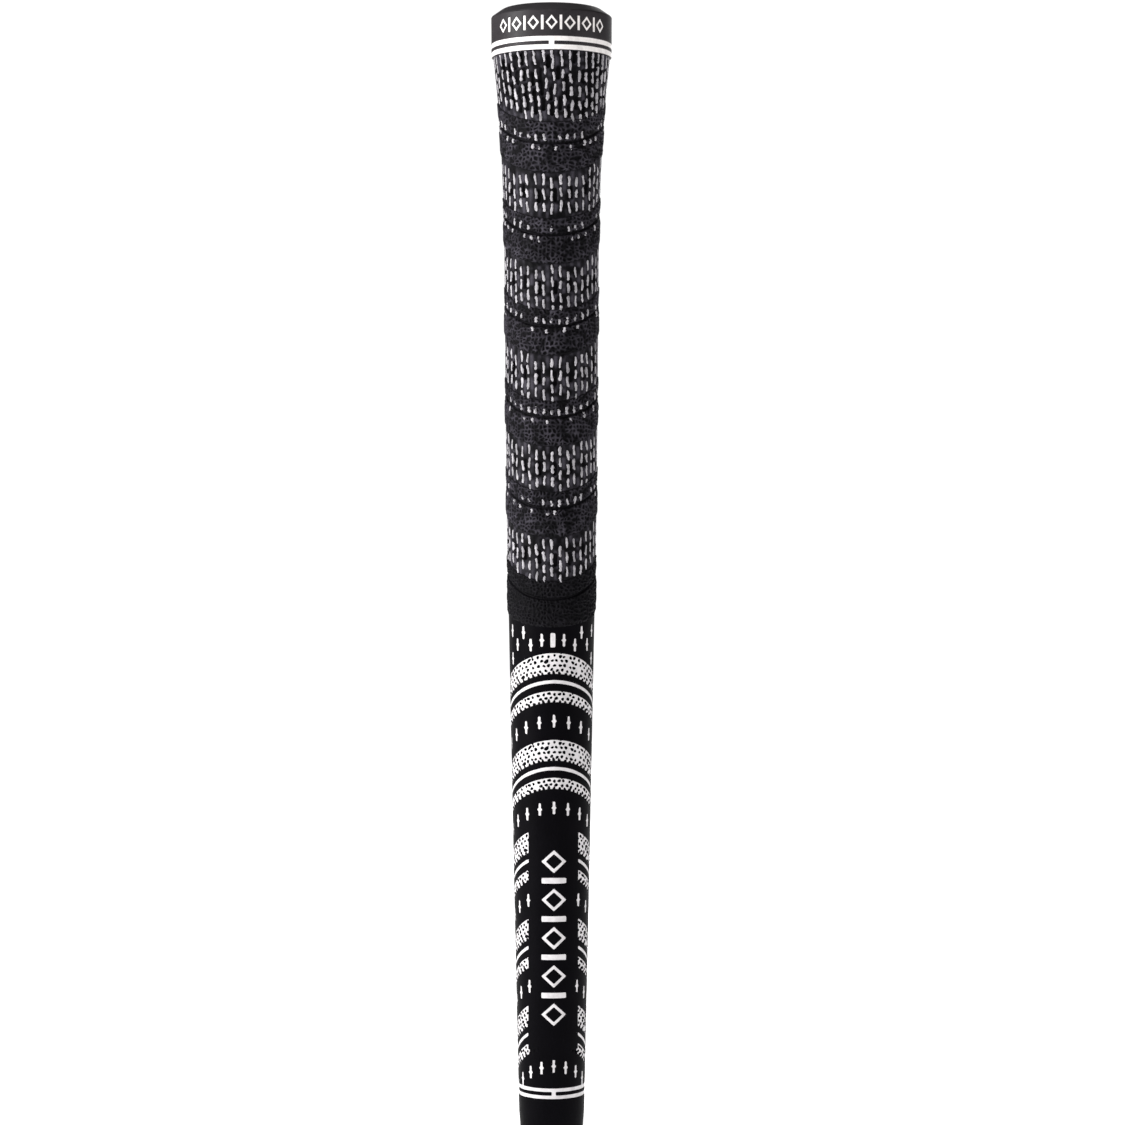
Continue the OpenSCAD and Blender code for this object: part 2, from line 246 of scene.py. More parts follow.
def wrap(angle):
    return (np.asarray(angle) + 180) % 360 - 180


def swing(angle):
    """How far a curve has swung away from its height at the front or back: 0 there and 1 at the sides."""
    return 1 - np.abs(np.cos(np.radians(angle)))


def arch_front(angle, z):
    """The height at which the arch through a place crosses the front."""
    return z + ARCH_DROP * swing(angle - PATTERN_TURN)


def smile_front(angle, z):
    """The height at which the curve through a place crosses the front."""
    return z - SMILE_RISE * swing(angle)


def joint_z(angle):
    return JOINT_Z + JOINT_RISE * swing(angle)


def panel_distance(angle, z, r):
    """Distance to the plain panel's edge: negative inside it, and far at the back."""
    a = np.radians(angle - PATTERN_TURN)
    d = np.maximum(np.abs(r * np.sin(a)) - PANEL_WIDTH / 2, np.maximum(PANEL_LOW - z, z - PANEL_HIGH))
    return np.where(np.cos(a) > 0, d, FAR)


def band_distance(angle, z, top, height):
    """Distance to the edge of a painted band, negative inside it."""
    r = lower_r(z)
    slope = ARCH_DROP * np.sin(np.radians(angle - PATTERN_TURN)) / r
    front = arch_front(angle, z)
    d = np.maximum(front - top, top - height - front) / np.sqrt(1 + slope ** 2)
    return np.maximum(d, -panel_distance(angle, z, r))


def dash_distance(across, up, width, length, bulge):
    box = np.maximum(np.abs(across) - width / 2, np.abs(up) - length / 2)
    lozenge = (np.abs(across) + np.abs(up) - bulge / 2) / math.sqrt(2)
    return np.minimum(box, lozenge)


def box_distance(across, up, width, height):
    return np.maximum(np.abs(across) - width / 2, np.abs(up) - height / 2)


def lozenge_ring_distance(across, up, width, height, stroke):
    steep = height / width
    d = (np.abs(across) * steep + np.abs(up) - height / 2) / math.hypot(steep, 1)
    return np.maximum(d, -d - stroke * steep / math.hypot(steep, 1))


def groove(distance):
    """Depth of the rubber at a distance from a painted edge, where the depth is PAINT_SINK."""
    return -np.clip((PAINT_SINK / GROOVE_SLOPE - distance) * GROOVE_SLOPE, 0, GROOVE_FLOOR)


# -------------------- places of the repeated shapes

def arch_bands():
    """(node, top, height) of each painted band, from the frame."""
    for kind in ("wide", "line", "narrow"):
        for k in range(1, ARCH_SETS + 1):
            node = f"arch_{k}_{kind}_fill"
            low, high = box_mm(node)
            yield node, high[2], high[2] - low[2] - ARCH_DROP


def dash_row(k):
    """Angle and height of each dash of a row, round the whole grip."""
    z = box_mm(f"dash_row_{k}_fill")[1][2] - DASH_LENGTH / 2
    beside_panel = PANEL_LOW < z < PANEL_HIGH
    for side in (0, 180):
        for step in range(-4, 5):
            if side == 180 or not beside_panel or abs(step) > 1:
                fall = ARCH_DROP * (1 - math.cos(math.radians(step * DASH_STEP)))
                yield side + step * DASH_STEP + PATTERN_TURN, z - fall


def joint_dashes():
    for side in (0, 180):
        for angle, z in JOINT_DASHES:
            for hand in (-1, 1):
                yield side + hand * angle + PATTERN_TURN / 2, z


def panel_marks():
    """(kind, height) of each mark of the column in the plain panel."""
    low, high = box_mm("panel_mark_fill")
    step = (MARK_LOZENGE[1] + MARK_BAR) / 2 + MARK_GAP
    middle = (low[2] + high[2]) / 2
    for k in range(2 * MARK_LOZENGES - 1):
        yield ("lozenge", "bar")[k % 2], middle + (k - MARK_LOZENGES + 1) * step


def badge_marks():
    for k in range(1 - BADGE_LOZENGES, BADGE_LOZENGES):
        yield ("bar", "lozenge")[(k + BADGE_LOZENGES) % 2], k * BADGE_STEP


# -------------------- meshes

def turned(verts, faces):
    """Turns the four-sided faces so that each one's split runs along a groove's sides, not across them."""
    r = np.hypot(*np.asarray(verts)[:, :2].T).tolist()
    for face in faces:
        if len(face) == 4 and abs(r[face[0]] - r[face[2]]) > abs(r[face[1]] - r[face[3]]):
            yield (*face[1:], face[0])
        else:
            yield face


def add_mesh(name, verts, faces, body_material, sharp=50, highlight_and_grime=None):
    """A smooth-shaded object from vertices in millimetres. The optional per-vertex value, from 0 to 1, is
    painted highlight on rubber and grime on yarns.
    """
    mesh = bpy.data.meshes.new(name)
    mesh.from_pydata((np.asarray(verts) * MM).tolist(), [], list(turned(verts, faces)))
    mesh.polygons.foreach_set("use_smooth", np.ones(len(mesh.polygons), bool))
    mesh.set_sharp_from_angle(angle=math.radians(sharp))
    mesh.materials.append(body_material)
    if highlight_and_grime is not None:
        shade = np.zeros(len(verts), np.float32)
        shade[:highlight_and_grime.size] = highlight_and_grime.ravel()
        mesh.attributes.new("highlight_and_grime", "FLOAT", "POINT").data.foreach_set("value", shade)
    mesh.update()
    obj = bpy.data.objects.new(name, mesh)
    bpy.context.scene.collection.objects.link(obj)
    return obj


def points(angle, z, r):
    a = np.radians(angle)
    return np.stack([r * np.sin(a), -r * np.cos(a), z + 0 * r], -1).reshape(-1, 3)


def quads(a, b, c, d):
    return np.stack([np.ravel(a), np.ravel(b), np.ravel(c), np.ravel(d)], 1).tolist()


def shell(angle, z, outer, inner, inner_rows, closed):
    """A closed solid from a grid of places (rows go up, columns go round) and two radii.

    The inner wall keeps only some of the rows. Without closed, the first and last columns are walled off.
    """
    rows, cols = angle.shape
    keep = np.unique(np.linspace(0, rows - 1, inner_rows).round().astype(int))
    verts = np.concatenate([points(angle, z, outer), points(angle[keep], z[keep], inner[keep])])
    out = np.arange(rows * cols).reshape(rows, cols)
    into = rows * cols + np.arange(len(keep) * cols).reshape(len(keep), cols)
    if closed:
        out = np.concatenate([out, out[:, :1]], 1)
        into = np.concatenate([into, into[:, :1]], 1)
    faces = quads(out[:-1, :-1], out[:-1, 1:], out[1:, 1:], out[1:, :-1])
    faces += quads(into[:-1, :-1], into[1:, :-1], into[1:, 1:], into[:-1, 1:])
    faces += quads(out[0, 1:], out[0, :-1], into[0, :-1], into[0, 1:])
    faces += quads(out[-1, :-1], out[-1, 1:], into[-1, 1:], into[-1, :-1])
    if not closed:
        for col, left in ((0, True), (-1, False)):
            j = 0
            for i in range(rows - 1):
                tri = [out[i, col], out[i + 1, col], into[j, col]]
                faces.append([int(v) for v in (tri if left else tri[::-1])])
                if i + 1 == keep[j + 1]:
                    tri = [into[j + 1, col], into[j, col], out[i + 1, col]]
                    faces.append([int(v) for v in (tri if left else tri[::-1])])
                    j += 1
    return verts, faces


def lathe(profile, columns, offset=None):
    """A closed ring from a closed outline of (radius, height) points, anticlockwise.

    offset(angle, z, radius) moves the radius of each place.
    """
    profile = np.asarray(profile, float)
    angle = np.arange(columns) * 360 / columns
    a, r = np.meshgrid(angle, profile[:, 0])
    z = np.repeat(profile[:, 1:2], columns, 1)
    if offset is not None:
        r = r + offset(a, z, r)
    out = np.arange(len(profile) * columns).reshape(len(profile), columns)
    out = np.concatenate([out, out[:, :1]], 1)
    out = np.concatenate([out, out[:1]], 0)
    return points(a, z, r), quads(out[:-1, :-1], out[:-1, 1:], out[1:, 1:], out[1:, :-1])


def plates(places, radius, sink):
    """Thin plates that follow the surface. places are (angle, height, width, height of the plate)."""
    spacing = 0.5
    verts, faces = [], []
    for angle, z, width, height in places:
        across = np.linspace(-width / 2, width / 2, max(3, int(width / spacing) + 2))
        up = np.linspace(z - height / 2, z + height / 2, max(3, int(height / spacing) + 2))
        across, h = np.meshgrid(across, up)
        r = radius(h)
        a = angle + np.degrees(across / r)
        v, f = shell(a, h, r - sink, r - sink - PLATE_THICK, len(up), False)
        faces += [[i + len(verts) for i in face] for face in f]
        verts += v.tolist()
    return verts, faces


# -------------------- materials

def material(name):
    made = bpy.data.materials.new(name)
    made.use_nodes = True
    tree = made.node_tree
    shader = tree.nodes["Principled BSDF"]
    place = tree.nodes.new("ShaderNodeTexCoord").outputs["Object"]
    return made, tree, shader, place


def set_inputs(node, values):
    """Sets a node's inputs, or links them where a value is another node's output."""
    for name, value in values.items():
        if isinstance(value, bpy.types.NodeSocket):
            node.id_data.links.new(value, node.inputs[name])
        else:
            node.inputs[name].default_value = value


def add_node(tree, kind, values):
    node = tree.nodes.new(kind)
    set_inputs(node, values)
    return node


def add_noise(tree, place, scale, detail, stretch=(1, 1, 1)):
    """Noise of about 1 / scale metres, read along stretched axes."""
    vector = add_node(tree, "ShaderNodeMapping", {"Vector": place, "Scale": stretch}).outputs["Vector"]
    values = {"Vector": vector, "Scale": scale, "Detail": detail}
    return add_node(tree, "ShaderNodeTexNoise", values).outputs["Fac"]


def highlight_and_grime_of(tree):
    """Each vertex's painted highlight on rubber and grime on yarns, from the mesh, or 0 where the mesh
    doesn't say.
    """
    node = tree.nodes.new("ShaderNodeAttribute")
    node.attribute_name = "highlight_and_grime"
    return node.outputs["Fac"]


def scaled(colour, gain):
    return tuple(c * gain for c in colour)


def spread(tree, value, low, high, start=0.3, end=0.7):
    """A number that goes from low to high as value goes from start to end."""
    values = {"Value": value, "From Min": start, "From Max": end, "To Min": low, "To Max": high}
    return add_node(tree, "ShaderNodeMapRange", values).outputs["Result"]


def tones(tree, value, stops):
    """Colours along a value: stops are (place, (r, g, b))."""
    ramp = add_node(tree, "ShaderNodeValToRGB", {"Fac": value})
    elements = ramp.color_ramp.elements
    while len(elements) < len(stops):
        elements.new(0.5)
    for element, (where, colour) in zip(elements, stops):
        element.position = where
        element.color = (*colour, 1)
    return ramp.outputs["Color"]


def mixed(tree, factor, first, second):
    node = tree.nodes.new("ShaderNodeMix")
    node.data_type = "RGBA"
    set_inputs(node, {"Factor": factor, "A": first, "B": second})
    return node.outputs["Result"]


def bumped(tree, shader, heights):
    """Chains bumps of (height, distance in millimetres) into the shader's normal."""
    normal = None
    for height, distance in heights:
        bump = add_node(tree, "ShaderNodeBump", {"Distance": distance * MM, "Height": height})
        if normal is not None:
            set_inputs(bump, {"Normal": normal})
        normal = bump.outputs["Normal"]
    set_inputs(shader, {"Normal": normal})


def rubber(name, dark, light, roughness, grain, specular):
    """Moulded rubber: cloudy tone, paler specks, a painted highlight where the mesh marks one, and a fine
    grain.
    """
    made, tree, shader, place = material(name)
    cloud = add_noise(tree, place, 160, 4)
    specks = add_noise(tree, place, 2600, 3)
    fine = add_noise(tree, place, 9000, 2)
    middle = tuple((a + b) / 2 for a, b in zip(dark, light))
    base = tones(tree, cloud, ((0.3, dark), (0.7, middle)))
    pale = tones(tree, fine, ((0.2, middle), (0.8, light)))
    specked = mixed(tree, spread(tree, specks, 0.0, 0.7, 0.42, 0.7), base, pale)
    # painted highlight: a tone 4 to 16 times paler than the rubber, laid on where the mesh's per-vertex
    # value marks it
    painted_highlight = tones(tree, fine, ((0.25, scaled(light, 4)), (0.75, scaled(light, 16))))
    colour = mixed(tree, spread(tree, highlight_and_grime_of(tree), 0.0, 1.0, 0.0, 1.0), specked, painted_highlight)
    rough = spread(tree, specks, roughness - 0.07, roughness + 0.07)
    set_inputs(shader, {"Base Color": colour, "Roughness": rough, "Specular IOR Level": specular})
    bumped(tree, shader, ((specks, grain), (fine, grain * 0.4)))
    return made


def enamel(name, colour):
    """Paint wiped into a groove: nearly even, with faint pooling and a few specks of rubber dust."""
    made, tree, shader, place = material(name)
    pool = add_noise(tree, place, 700, 3)
    dust = add_noise(tree, place, 5200, 2)
    speck = scaled(colour, 0.55)
    base = tones(tree, pool, ((0.35, scaled(colour, 0.86)), (0.55, colour)))
    dirty = tones(tree, dust, ((0.0, speck), (1.0, speck)))
    specked = mixed(tree, spread(tree, dust, 0.0, 0.75, 0.66, 0.78), base, dirty)
    set_inputs(shader, {"Base Color": specked, "Roughness": spread(tree, pool, 0.32, 0.48)})
    bumped(tree, shader, ((pool, 0.03), (dust, 0.01)))
    return made


def cotton(name):
    """Ground cotton yarn: twisted fibres, greyed by rubber dust."""
    made, tree, shader, place = material(name)
    tint = add_noise(tree, place, 420, 3)
    fibre = add_noise(tree, place, 5200, 3, stretch=(1, 1, 0.22))
    fluff = add_noise(tree, place, 9000, 2)
    clean = tones(tree, tint, ((0.3, (0.34, 0.325, 0.345)), (0.65, (0.56, 0.535, 0.565))))
    grimy = tones(tree, tint, ((0.3, (0.13, 0.125, 0.135)), (0.7, (0.27, 0.26, 0.28))))
    washed = mixed(tree, spread(tree, highlight_and_grime_of(tree), 0.0, 0.5, 0.0, 1.0), clean, grimy)
    streaked = mixed(tree, spread(tree, fibre, 0.7, 0.0, 0.36, 0.52), washed, grimy)
    set_inputs(shader, {"Base Color": streaked, "Roughness": 0.9})
    set_inputs(shader, {"Specular IOR Level": 0.2, "Sheen Weight": 0.35})
    bumped(tree, shader, ((fibre, 0.10), (fluff, 0.03)))
    return made


CAP_RUBBER = rubber("cap_rubber", (0.015, 0.0130, 0.0144), (0.036, 0.0314, 0.0348), 0.5, 0.012, 0.2)
UPPER_RUBBER = rubber("upper_rubber", (0.0010, 0.0009, 0.0013), (0.0062, 0.0057, 0.0071), 0.55, 0.03, 0.05)
LOWER_RUBBER = rubber("lower_rubber", (0.0008, 0.0006, 0.0012), (0.0026, 0.0022, 0.0036), 0.5, 0.012, 0.03)
INNER_RUBBER = rubber("inner_rubber", (0.006, 0.006, 0.007), (0.016, 0.016, 0.018), 0.62, 0.02, 0.3)
COTTON = cotton("cotton_cord")
CAP_PAINT = enamel("cap_paint", (0.91, 0.87, 0.85))
GROOVE_PAINT = enamel("groove_paint", (0.68, 0.655, 0.665))


def place_piece(obj, slot, *nodes):
    """Rides the grip's one body and stands for any CAD nodes named. slot is not used."""
    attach(obj, "root")
    if nodes:
        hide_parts(*nodes)


def paint_piece(name, verts, faces, paint=GROOVE_PAINT, slot="groove_paint"):
    """Paint that stands for the CAD fill of the same name."""
    place_piece(add_mesh(f"{name}_paint", verts, faces, paint), slot, f"{name}_fill")


# -------------------- lower hand

def half_angles(side, radius):
    """Angles across the front (side 0) or back (side 180) half."""
    cols = int(math.pi * radius / SKIN_GRID)
    return side + np.linspace(-90, 90, cols + 1)


def lower_relief(angle, z):
    r = lower_r(z)
    edges = [band_distance(angle, z, top, height) for _, top, height in arch_bands()]
    dashes = [place for k in range(1, ARCH_SETS + 1) for place in dash_row(k)] + list(joint_dashes())
    for a, h in dashes:
        across = np.radians(wrap(angle - a)) * r
        edges.append(dash_distance(across, z - h, DASH_WIDTH, DASH_LENGTH, DASH_BULGE))
    for side in (0, 180):
        across = np.radians(wrap(angle - side - PATTERN_TURN / 2)) * r
        edges.append(box_distance(across, z - JOINT_DASHES[0][1], *JOINT_BAR))
    across = np.radians(wrap(angle - PATTERN_TURN)) * r
    for kind, h in panel_marks():
        if kind == "bar":
            edges.append(box_distance(across, z - h, MARK_LOZENGE[0], MARK_BAR))
        else:
            edges.append(lozenge_ring_distance(across, z - h, *MARK_LOZENGE, MARK_STROKE))
    rings = [box_mm(n) for n in ("tip_lower_ring_fill", "tip_upper_ring_fill")]
    edges += [np.maximum(low[2] - z, z - high[2]) for low, high in rings]
    low, high = rings[0][0][2], rings[1][1][2]
    edges.append(box_distance(across, z - (low + high) / 2, TICK_WIDTH, high - low))
    skin = 0.012 * noise(angle, z, 2.6, 11) + 0.006 * noise(angle, z, 0.9, 12)
    return groove(np.minimum.reduce(edges)) + skin


def lower_panel(name, side, node):
    angles = half_angles(side, LOWER_R)
    rows = int(JOINT_Z / SKIN_GRID)
    share, a = np.meshgrid(np.linspace(0, 1, rows + 1), angles, indexing="ij")
    z = share * joint_z(a)
    r = lower_r(z)
    relief = lower_relief(a, z)
    seam = np.radians(np.minimum(np.abs(a - angles[0]), np.abs(a - angles[-1]))) * r
    flash = 0.03 * np.exp(-(seam / 0.18) ** 2)
    verts, faces = shell(a, z, r + relief + flash, r - LOWER_SKIN, 12, False)
    place_piece(add_mesh(name, verts, faces, LOWER_RUBBER), "lower_rubber", node)


def band_plate(node, top, height):
    """The paint of one band, as a plate that runs on a little under the rubber round it."""
    cols = 240
    rows = max(4, int((height + 2 * PLATE_MARGIN) / 0.4))
    angles = np.linspace(-180, 180, cols, endpoint=False) + PATTERN_TURN
    cut = top - height < PANEL_HIGH and top > PANEL_LOW
    if cut:
        r = lower_r(top - height / 2)
        start = math.degrees(math.asin((PANEL_WIDTH / 2 - PLATE_MARGIN) / r))
        angles = np.linspace(start, 360 - start, cols) + PATTERN_TURN
    low, high = top - height - PLATE_MARGIN, top + PLATE_MARGIN
    front, a = np.meshgrid(np.linspace(low, high, rows), angles, indexing="ij")
    z = front - ARCH_DROP * swing(a - PATTERN_TURN)
    r = lower_r(z) - PAINT_SINK + 0.008 * noise(a, z, 0.8, 21)
    paint_piece(node.removesuffix("_fill"), *shell(a, z, r, r - PLATE_THICK, rows, not cut))


def pebble_places(height, rng):
    """Angle, depth under the band's top edge, size and stretch of each rubber pebble in a painted band."""
    found = []
    spacing, row_spacing = 1.2, 1.12
    rows = max(2, int(round(height / row_spacing)))
    around = int(round(2 * math.pi * PEBBLE_R / spacing))
    for row in range(rows):
        down = (row + 0.6) * (height - 0.5) / rows
        for k in range(around):
            if rng.random() < 0.03:
                continue
            size = rng.uniform(0.29, 0.4)
            stretch = rng.uniform(1.0, 1.25) if rng.random() < 0.94 else rng.uniform(1.9, 2.5)
            angle = (k + 0.5 * (row % 2) + rng.uniform(-0.17, 0.17)) * 360 / around
            found.append((angle, down + rng.uniform(-0.16, 0.16), size, stretch, rng.uniform(-0.5, 0.5)))
    for k in range(around):
        angle = (k + rng.uniform(-0.2, 0.2)) * 360 / around
        found.append((angle, height + rng.uniform(-0.2, 0.1), rng.uniform(0.34, 0.42), 1.45, math.pi / 2))
    for k in range(around // 5):
        angle = (k + rng.uniform(-0.4, 0.4)) * 360 / (around // 5)
        found.append((angle, rng.uniform(-0.15, 0.05), rng.uniform(0.2, 0.32), 1.0, 0.0))
    return found


def domes(places, surface, rng, sides, rise, sunk):
    """Low rubber domes with uneven outlines. places are (angle, z, radius, stretch, turn)."""
    places = np.array(places, float)
    count = len(places)
    angle, z, size, stretch, turn = places.T
    round_ = np.arange(sides) * 2 * math.pi / sides
    wobble = 1 + 0.13 * np.cos(2 * round_ + rng.uniform(0, 6.3, (count, 1)))
    wobble += 0.09 * np.cos(3 * round_ + rng.uniform(0, 6.3, (count, 1)))
    rings = ((1.12, -sunk), (1.0, -PAINT_SINK), (0.84, 0.3 * rise), (0.45, 0.85 * rise))
    verts = []
    for share, lift in rings:
        across = size[:, None] * stretch[:, None] * wobble * share * np.cos(round_)
        up = size[:, None] * wobble * share * np.sin(round_)
        u = across * np.cos(turn)[:, None] - up * np.sin(turn)[:, None]
        v = across * np.sin(turn)[:, None] + up * np.cos(turn)[:, None]
        h = z[:, None] + v
        r = surface(h)
        verts.append(points(angle[:, None] + np.degrees(u / r), h, r + lift).reshape(count, sides, 3))
    for lift in (rise, -sunk):
        r = surface(z)
        verts.append(points(angle, z, r + lift).reshape(count, 1, 3))
    verts = np.concatenate(verts, 1)
    per = verts.shape[1]
    i = np.arange(sides)
    j = (i + 1) % sides
    faces = []
    for ring in range(len(rings) - 1):
        low, high = ring * sides, (ring + 1) * sides
        faces += np.stack([low + i, low + j, high + j, high + i], 1).tolist()
    last = (len(rings) - 1) * sides
    crown, under = len(rings) * sides, len(rings) * sides + 1
    faces += [[last + int(a), last + int(b), crown] for a, b in zip(i, j)]
    faces += [[int(b), int(a), under] for a, b in zip(i, j)]
    every = [[v + n * per for v in face] for n in range(count) for face in faces]
    return verts.reshape(-1, 3), every


def band_pebbles(k):
    """The rubber pebbles that stand through the paint of one set of arches."""
    places = []
    for seed, kind in ((31, "wide"), (32, "narrow")):
        low, high = box_mm(f"arch_{k}_{kind}_fill")
        height = high[2] - low[2] - ARCH_DROP
        for angle, down, size, stretch, turn in pebble_places(height, np.random.default_rng(seed)):
            a = angle + PATTERN_TURN
            z = high[2] - down - ARCH_DROP * swing(angle)
            if panel_distance(a, z, lower_r(z)) < -0.1:
                continue
            round_ = math.radians(angle)
            slope = -ARCH_DROP * math.sin(round_) / PEBBLE_R * np.sign(math.cos(round_))
            places.append((a, z, size, stretch, turn + math.atan(slope)))
    verts, faces = domes(places, lower_r, np.random.default_rng(33), sides=12, rise=0.02, sunk=0.2)
    place_piece(add_mesh(f"arch_{k}_pebbles", verts, faces, LOWER_RUBBER, 80), "lower_rubber")


def dash_plates(name, places, width, height, sink=PAINT_SINK):
    margin = 2 * PLATE_MARGIN
    spots = [(a, z, width + margin, height + margin) for a, z in places]
    paint_piece(name, *plates(spots, lower_r, sink))


def column_plate(name, width, sink=PAINT_SINK):
    """One plate under a whole column of marks in the front."""
    low, high = box_mm(f"{name}_fill")
    dash_plates(name, [(PATTERN_TURN, (low[2] + high[2]) / 2)], width, high[2] - low[2], sink)


def ring_plate(name, radius, *finish):
    rows, cols = 6, 192
    low, high = box_mm(f"{name}_fill")
    bottom = low[2] - PLATE_MARGIN
    if low[2] > SKIRT_Z - 1:    # in the cap, above its foot
        bottom = max(bottom, SKIRT_Z + 0.02)
    heights = np.linspace(bottom, high[2] + PLATE_MARGIN, rows)
    z, a = np.meshgrid(heights, np.arange(cols) * 360 / cols, indexing="ij")
    r = radius(z) - PAINT_SINK
    paint_piece(name, *shell(a, z, r, r - PLATE_THICK, rows, True), *finish)


def lower_hand():
    lower_panel("lower_panel_front_skin", 0, "lower_panel_front")
    lower_panel("lower_panel_back_skin", 180, "lower_panel_back")
    for node, top, height in arch_bands():
        band_plate(node, top, height)
    for k in range(1, ARCH_SETS + 1):
        band_pebbles(k)
        dash_plates(f"dash_row_{k}", dash_row(k), DASH_BULGE, DASH_LENGTH)
    bars = [(side + PATTERN_TURN / 2, JOINT_DASHES[0][1]) for side in (0, 180)]
    dash_plates("joint_dash", list(joint_dashes()) + bars, *JOINT_BAR)
    column_plate("panel_mark", MARK_LOZENGE[0])
    ring_plate("tip_upper_ring", lower_r)
    ring_plate("tip_lower_ring", lower_r)
    column_plate("tip_tick", TICK_WIDTH, TICK_SINK)


# -------------------- upper hand

def smile_heights():
    return [SMILE_TOP - k * SMILE_PITCH for k in range(SMILE_COUNT)]


def pebbled_bands():
    """(name, top, bottom) of each pebbled stretch between two cord zones, as heights at the front."""
    found = []
    for k, z in enumerate(smile_heights()[:-1]):
        top = z + SMILE_PITCH - CORD_END if k > 0 else SKIRT_Z - TOP_CORD_END
        found.append((f"pebbled_band_{k + 1}", top, z - THICK_BAND[1]))
    return found


def band_lift(front):
    """Height of the pebbled rubber: thick bands stand proud, and the strips beside the grooves lie low."""
    lift = np.full(np.shape(front), 0.03)
    for z in smile_heights():
        thick = np.minimum(z - THICK_BAND[0] - front, front - z + THICK_BAND[1])
        lift += 0.07 * smoothstep(-0.2, 0.5, thick)
        lift -= 0.08 * (1 - smoothstep(STRIP - 0.2, STRIP + 0.3, np.abs(front - z)))
    return lift


def cord_zones():
    """(top, bottom, columns, slant in degrees) of each cord zone, as heights at the front."""
    zones = [(SKIRT_Z + 0.4, SKIRT_Z - TOP_CORD_END, TOP_YARN_COLUMNS, TOP_YARN_SLANT)]
    for z in smile_heights()[:-1]:
        bottom = max(z - CORD_END, LAST_CORD_Z)
        zones.append((z - THICK_BAND[1], bottom, YARN_COLUMNS, YARN_SLANT))
    return zones


def drift(slant, down):
    """Degrees round the grip that a column of yarns with a slant in degrees moves over a height."""
    return np.degrees(math.tan(math.radians(slant)) * down / YARN_R)


def slot_places():
    """Angle and height of each deep slot between the yarns."""
    rng = np.random.default_rng(41)
    found = []
    for top, bottom, columns, slant in cord_zones():
        if columns == TOP_YARN_COLUMNS:
            for row, rise in enumerate((0.15, 0.4, 0.6, 0.85)):
                for k in range(columns):
                    if rng.random() < SLOT_CHANCE:
                        z = top - 2.2 - 3.6 * row - 1.2 * (k % 2)
                        angle = (k + 0.5) * 360 / columns + drift(slant, top - z)
                        found.append((angle, z + rng.uniform(-0.5, 0.5), rise))
        else:
            for k in range(columns // 2):
                angle = (2 * k + 0.5) * 360 / columns + rng.uniform(-0.6, 0.6)
                found.append((angle, (top + bottom) / 2 + rng.uniform(-0.4, 0.4), 1.0))
    return [(a, z + rise * SMILE_RISE * swing(a)) for a, z, rise in found]


def crescents(angle, z):
    """Faint ridges, curved upwards, in the front and back of the thick bands."""
    total = np.zeros(np.shape(z))
    sideways = UPPER_R * np.sin(np.radians(angle))
    centre_drop, first, pitch = 2.6, 3.3, 0.85
    for groove_z in smile_heights()[:-1]:
        foot = groove_z - THICK_BAND[1]
        away = np.hypot(sideways, z - (foot - centre_drop))
        ridge = 0.5 + 0.5 * np.cos((away - first) * 2 * math.pi / pitch)
        mask = smoothstep(2.8, 3.1, away) * (1 - smoothstep(5.4, 5.9, away))
        mask = mask * (1 - smoothstep(3.4, 4.6, np.abs(sideways)))
        total += ridge * mask * smoothstep(-0.2, 0.2, z - foot)
    return total


def smile_depth(front):
    depth = np.zeros(np.shape(front))
    for z in smile_heights():
        depth = np.minimum(depth, -SMILE_DEPTH * (1 - smoothstep(0.12, 0.5, np.abs(front - z))))
    return depth


def ribs(angle, z):
    """How much a place in a cord zone lies on a rib between two yarns: 0 to 1, and 0 outside the zones."""
    rib = np.zeros(np.shape(z))
    front = smile_front(angle, z)
    for top, bottom, columns, slant in cord_zones():
        inside = smoothstep(-0.3, 0.3, top - front) * smoothstep(-0.3, 0.3, front - bottom)
        shifted = angle + drift(slant, z - top)
        off = np.abs((shifted / 360 * columns + 0.5) % 1 - 0.5) * 2
        rib += inside * smoothstep(0.35, 0.8, off)
    return rib


def slots(angle, z):
    """The deep slots between the yarns: 0 on the skin and 1 at the bottom of a slot."""
    deep = np.zeros(np.shape(z))
    r = upper_r(z)
    for a, h in slot_places():
        across = np.radians(wrap(angle - a)) * r
        along = np.maximum(np.abs(z - h) - (SLOT[1] - SLOT[0]) / 2, 0)
        deep = np.maximum(deep, smoothstep(-0.16, 0.16, SLOT[0] / 2 - np.hypot(across, along)))
    return deep


def upper_relief(angle, z):
    front = smile_front(angle, z)
    depth = 0.1 * ribs(angle, z) - 0.08 + smile_depth(front)
    depth += 0.035 * noise(angle, z, 0.7, 51) + 0.025 * noise(angle, z, 0.45, 52)
    for _, top, bottom in pebbled_bands():
        inside = np.minimum(top - front, front - bottom)
        depth -= BAND_SINK * smoothstep(0.0, 0.5, inside)
    depth -= BAND_SINK * smoothstep(0.0, 0.5, LAST_CORD_Z - front)
    depth = np.minimum(depth, -SLOT_DEPTH * slots(angle, z))
    edge = z - joint_z(angle)
    return depth - 0.15 * (1 - smoothstep(0, 0.5, edge))


def upper_panel(name, side, node):
    angles = half_angles(side, UPPER_R)
    rows = int((SKIRT_Z - JOINT_Z) / SKIN_GRID)
    share, a = np.meshgrid(np.linspace(0, 1, rows + 1), angles, indexing="ij")
    z = joint_z(a) + share * (SKIRT_Z - joint_z(a))
    r = upper_r(z)
    verts, faces = shell(a, z, r + upper_relief(a, z), r - UPPER_SKIN, 14, False)
    # painted highlight on the raised ribs between the yarns, in random patches, and none in the slots
    patches = smoothstep(-0.45, 0.5, noise(a, z, 0.9, 53) * 0.6 + noise(a, z, 2.4, 54) * 0.6)
    highlight_and_grime = (0.3 + 0.7 * ribs(a, z)) * patches * 0.7 * (1 - slots(a, z))
    place_piece(add_mesh(name, verts, faces, UPPER_RUBBER, highlight_and_grime=highlight_and_grime), "upper_rubber", node)


